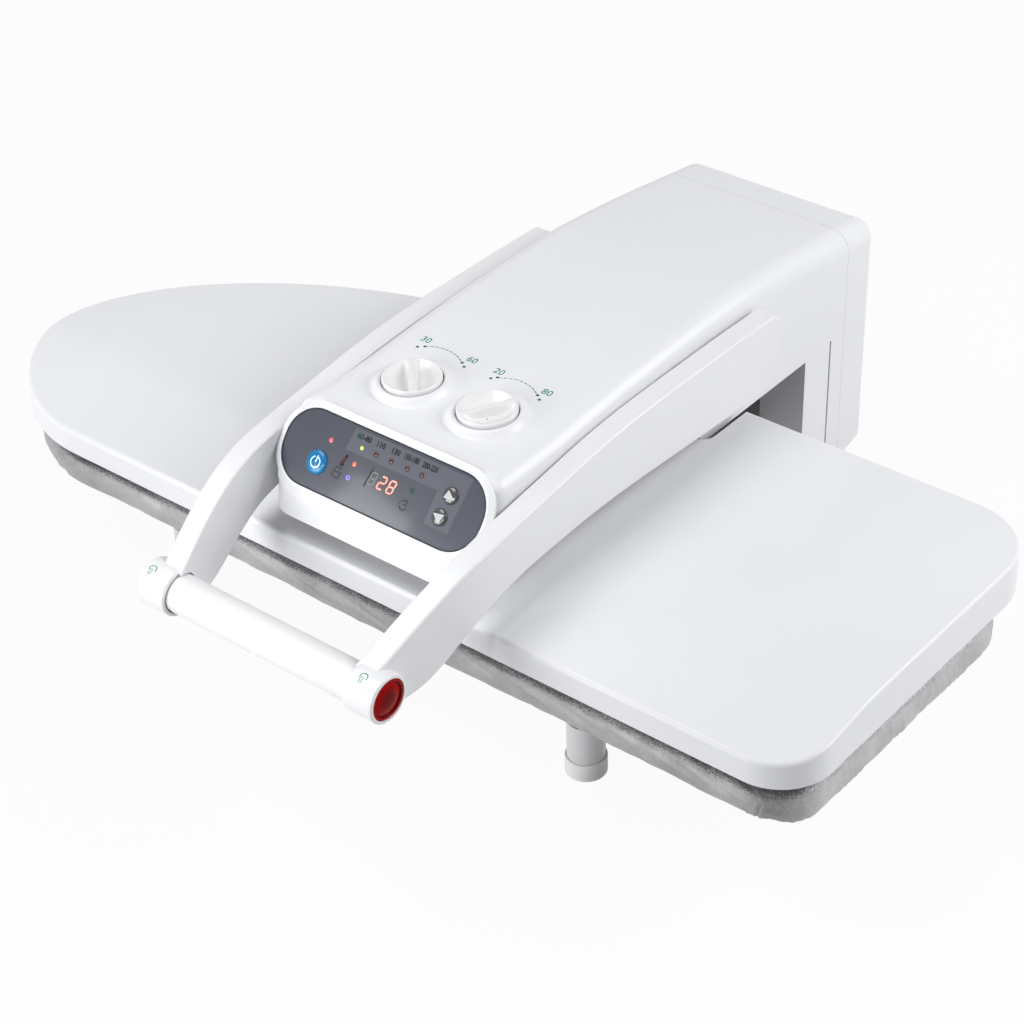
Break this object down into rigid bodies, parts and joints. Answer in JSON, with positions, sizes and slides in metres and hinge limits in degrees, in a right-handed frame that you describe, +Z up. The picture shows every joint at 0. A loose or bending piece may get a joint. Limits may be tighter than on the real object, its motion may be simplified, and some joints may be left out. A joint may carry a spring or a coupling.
{
  "type": "steam ironing press",
  "caption": "Tabletop steam ironing press: padded board on legs, hinged heated head with control panel and lever handle.",
  "frame": {"origin": "centre of the bounding box at the height of the table that the feet stand on", "axes": "+X to the square end of the board, +Y from the handle to the hinge, +Z up"},
  "size_m": [0.82, 0.6625, 0.249],
  "materials": {
    "white_plastic": "satin gloss",
    "grey_fabric": "heat-proof silvery cloth",
    "black_steel": "satin black",
    "zinc_steel": "zinc plated",
    "plate_aluminium": "smooth cast",
    "slate_lens": "glossy slate grey",
    "blue_plastic": "glossy blue",
    "dark_plastic": "glossy black",
    "red_plastic": "translucent red",
    "black_plastic": "matte",
    "tank_plastic": "frosted",
    "board_green": "circuit board",
    "bronze": "sintered",
    "hose_rubber": "silicone"
  },
  "bodies": {
    "base": {"front_cross_bar": "black_steel", "rear_cross_bar": "black_steel", "left_long_bar": "black_steel", "right_long_bar": "black_steel", "board_panel": "zinc_steel", "board_pad": "grey_fabric", "hinge_bracket": "black_steel", "hinge_pin": "zinc_steel", "left_lift_spring": "zinc_steel", "right_lift_spring": "zinc_steel", "front_right_leg": "white_plastic", "front_left_leg": "white_plastic", "rear_right_leg": "white_plastic", "rear_left_leg": "white_plastic", "front_right_leg_cap": "white_plastic", "front_left_leg_cap": "white_plastic", "rear_right_leg_cap": "white_plastic", "rear_left_leg_cap": "white_plastic"},
    "head": {"head_cover": "white_plastic", "rear_cover": "white_plastic", "plate_casing": "white_plastic", "head_frame": "zinc_steel", "heating_element": "zinc_steel", "thermostat": "zinc_steel", "front_right_plate_stud": "zinc_steel", "front_left_plate_stud": "zinc_steel", "rear_right_plate_stud": "zinc_steel", "rear_left_plate_stud": "zinc_steel", "lower_left_rear_screw": "zinc_steel", "lower_right_rear_screw": "zinc_steel", "upper_left_rear_screw": "zinc_steel", "upper_right_rear_screw": "zinc_steel", "heated_plate": "plate_aluminium", "panel_lens": "slate_lens", "left_dial_control": "black_plastic", "right_dial_control": "black_plastic", "water_pump": "black_plastic", "display_module": "black_plastic", "cord_gland": "black_plastic", "left_shaft_bush": "black_plastic", "right_shaft_bush": "black_plastic", "water_tank": "tank_plastic", "control_board": "board_green", "left_hinge_bush": "bronze", "right_hinge_bush": "bronze", "steam_hose": "hose_rubber"},
    "handle": {"left_arm": "white_plastic", "right_arm": "white_plastic", "handle_shaft": "zinc_steel", "grip_bar": "white_plastic", "handle_rod": "zinc_steel", "left_button_spring": "zinc_steel", "right_button_spring": "zinc_steel"},
    "left_knob": {"left_knob": "white_plastic"},
    "right_knob": {"right_knob": "white_plastic"},
    "power_button": {"power_button": "blue_plastic"},
    "up_button": {"up_button": "dark_plastic"},
    "down_button": {"down_button": "dark_plastic"},
    "left_steam_button": {"left_steam_button": "red_plastic"},
    "right_steam_button": {"right_steam_button": "red_plastic"}
  },
  "joints": [
    {"name": "head_open", "type": "hinge", "parent": "base", "child": "head", "pos_m": [0.03, 0.288, 0.088], "axis": [-1, 0, 0], "range_deg": [0, 50], "stiffness_Nm_per_rad": 12, "springref_deg": 126.05},
    {"name": "handle_lift", "type": "hinge", "parent": "head", "child": "handle", "pos_m": [0.03, 0.145, 0.2], "axis": [-1, 0, 0], "range_deg": [0, 20]},
    {"name": "left_knob_turn", "type": "hinge", "parent": "head", "child": "left_knob", "pos_m": [-0.0063, -0.104, 0.23802], "axis": [0, -0.0454, 0.999], "range_deg": [-220, 50]},
    {"name": "right_knob_turn", "type": "hinge", "parent": "head", "child": "right_knob", "pos_m": [0.0663, -0.104, 0.23802], "axis": [0, -0.0454, 0.999], "range_deg": [-50, 220]},
    {"name": "power_button_press", "type": "slide", "parent": "head", "child": "power_button", "axis": [0, 0.7964, -0.6048], "range_m": [0, 0.001], "stiffness_N_per_m": 400, "springref_m": -0.0006},
    {"name": "up_button_press", "type": "slide", "parent": "head", "child": "up_button", "axis": [0, 0.7964, -0.6048], "range_m": [0, 0.001], "stiffness_N_per_m": 400, "springref_m": -0.0006},
    {"name": "down_button_press", "type": "slide", "parent": "head", "child": "down_button", "axis": [0, 0.7964, -0.6048], "range_m": [0, 0.001], "stiffness_N_per_m": 400, "springref_m": -0.0006},
    {"name": "left_steam_button_press", "type": "slide", "parent": "handle", "child": "left_steam_button", "axis": [1, 0, 0], "range_m": [0, 0.0025], "stiffness_N_per_m": 300, "springref_m": -0.001, "deforming": ["left_button_spring"]},
    {"name": "right_steam_button_press", "type": "slide", "parent": "handle", "child": "right_steam_button", "axis": [-1, 0, 0], "range_m": [0, 0.0025], "stiffness_N_per_m": 300, "springref_m": -0.001, "deforming": ["right_button_spring"]}
  ]
}
